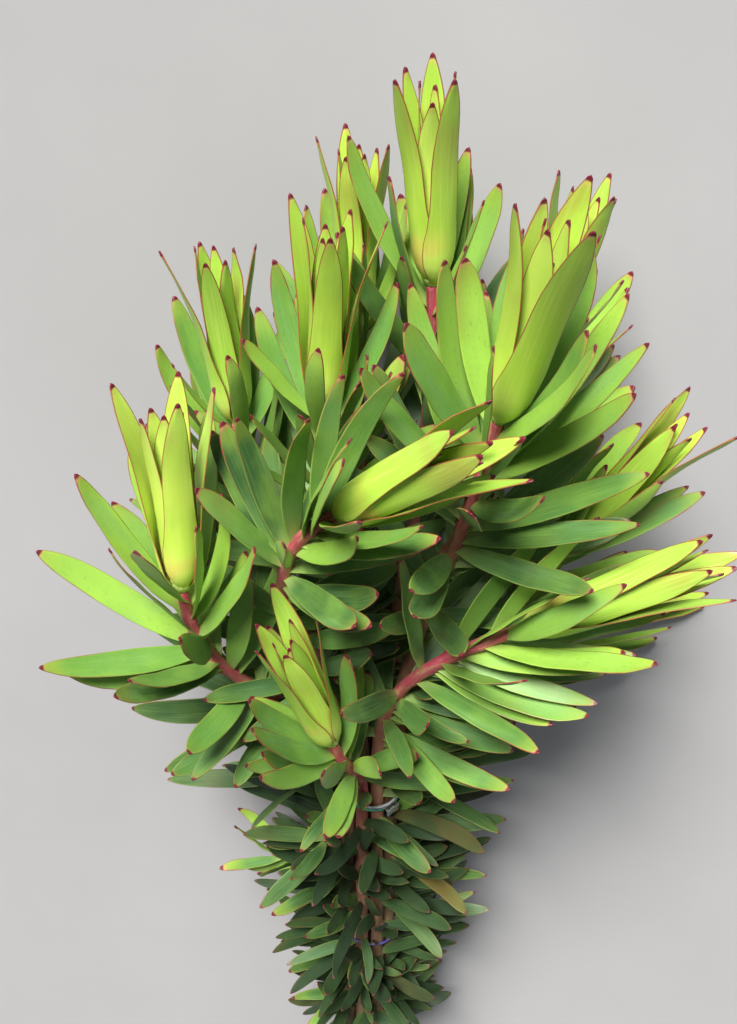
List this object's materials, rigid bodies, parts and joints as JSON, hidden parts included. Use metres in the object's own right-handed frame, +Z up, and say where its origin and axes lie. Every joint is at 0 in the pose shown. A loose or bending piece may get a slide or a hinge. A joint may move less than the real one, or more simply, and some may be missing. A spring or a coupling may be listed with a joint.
{
  "type": "tied bunch of leucadendron stems",
  "caption": "Tied bunch of green conebush stems lying on its side, with strap-shaped leaves, yellow-green flower heads, a clear band with a metal clip and a rubber band.",
  "frame": {"origin": "on the surface the bunch lies on, under the middle of its bounding box", "axes": "+Y along the bunch from the cut ends to the flower heads, +Z up, +X to the right when the heads point away from the viewer"},
  "size_m": [0.268, 0.5914, 0.1805],
  "materials": {
    "leaf_green": "satin",
    "bract_yellow_green": "satin",
    "tie_clear": "clear, glossy",
    "rubber_blue": "matt",
    "clip_metal": "satin"
  },
  "bodies": {
    "root": {"leafy_stem_left": "leaf_green", "flower_head_left": "bract_yellow_green", "leafy_stem_low_left": "leaf_green", "flower_head_low_left": "bract_yellow_green", "leafy_stem_centre": "leaf_green", "flower_head_centre": "bract_yellow_green", "leafy_stem_upper_left": "leaf_green", "flower_head_upper_left": "bract_yellow_green", "leafy_stem_top": "leaf_green", "flower_head_top": "bract_yellow_green", "leafy_stem_right_front": "leaf_green", "flower_head_right_front": "bract_yellow_green", "leafy_stem_low_right": "leaf_green", "flower_head_low_right": "bract_yellow_green", "leafy_stem_back_right": "leaf_green", "flower_head_back_right": "bract_yellow_green", "leafy_stem_back": "leaf_green", "flower_head_back": "bract_yellow_green", "leafy_stem_back_left": "leaf_green", "flower_head_back_left": "bract_yellow_green", "leafy_stem_right": "leaf_green", "flower_head_right": "bract_yellow_green", "leafy_stem_low_back": "leaf_green", "flower_head_low_back": "bract_yellow_green", "tie_band": "tie_clear", "rubber_band": "rubber_blue", "tie_clip": "clip_metal"}
  },
  "joints": []
}
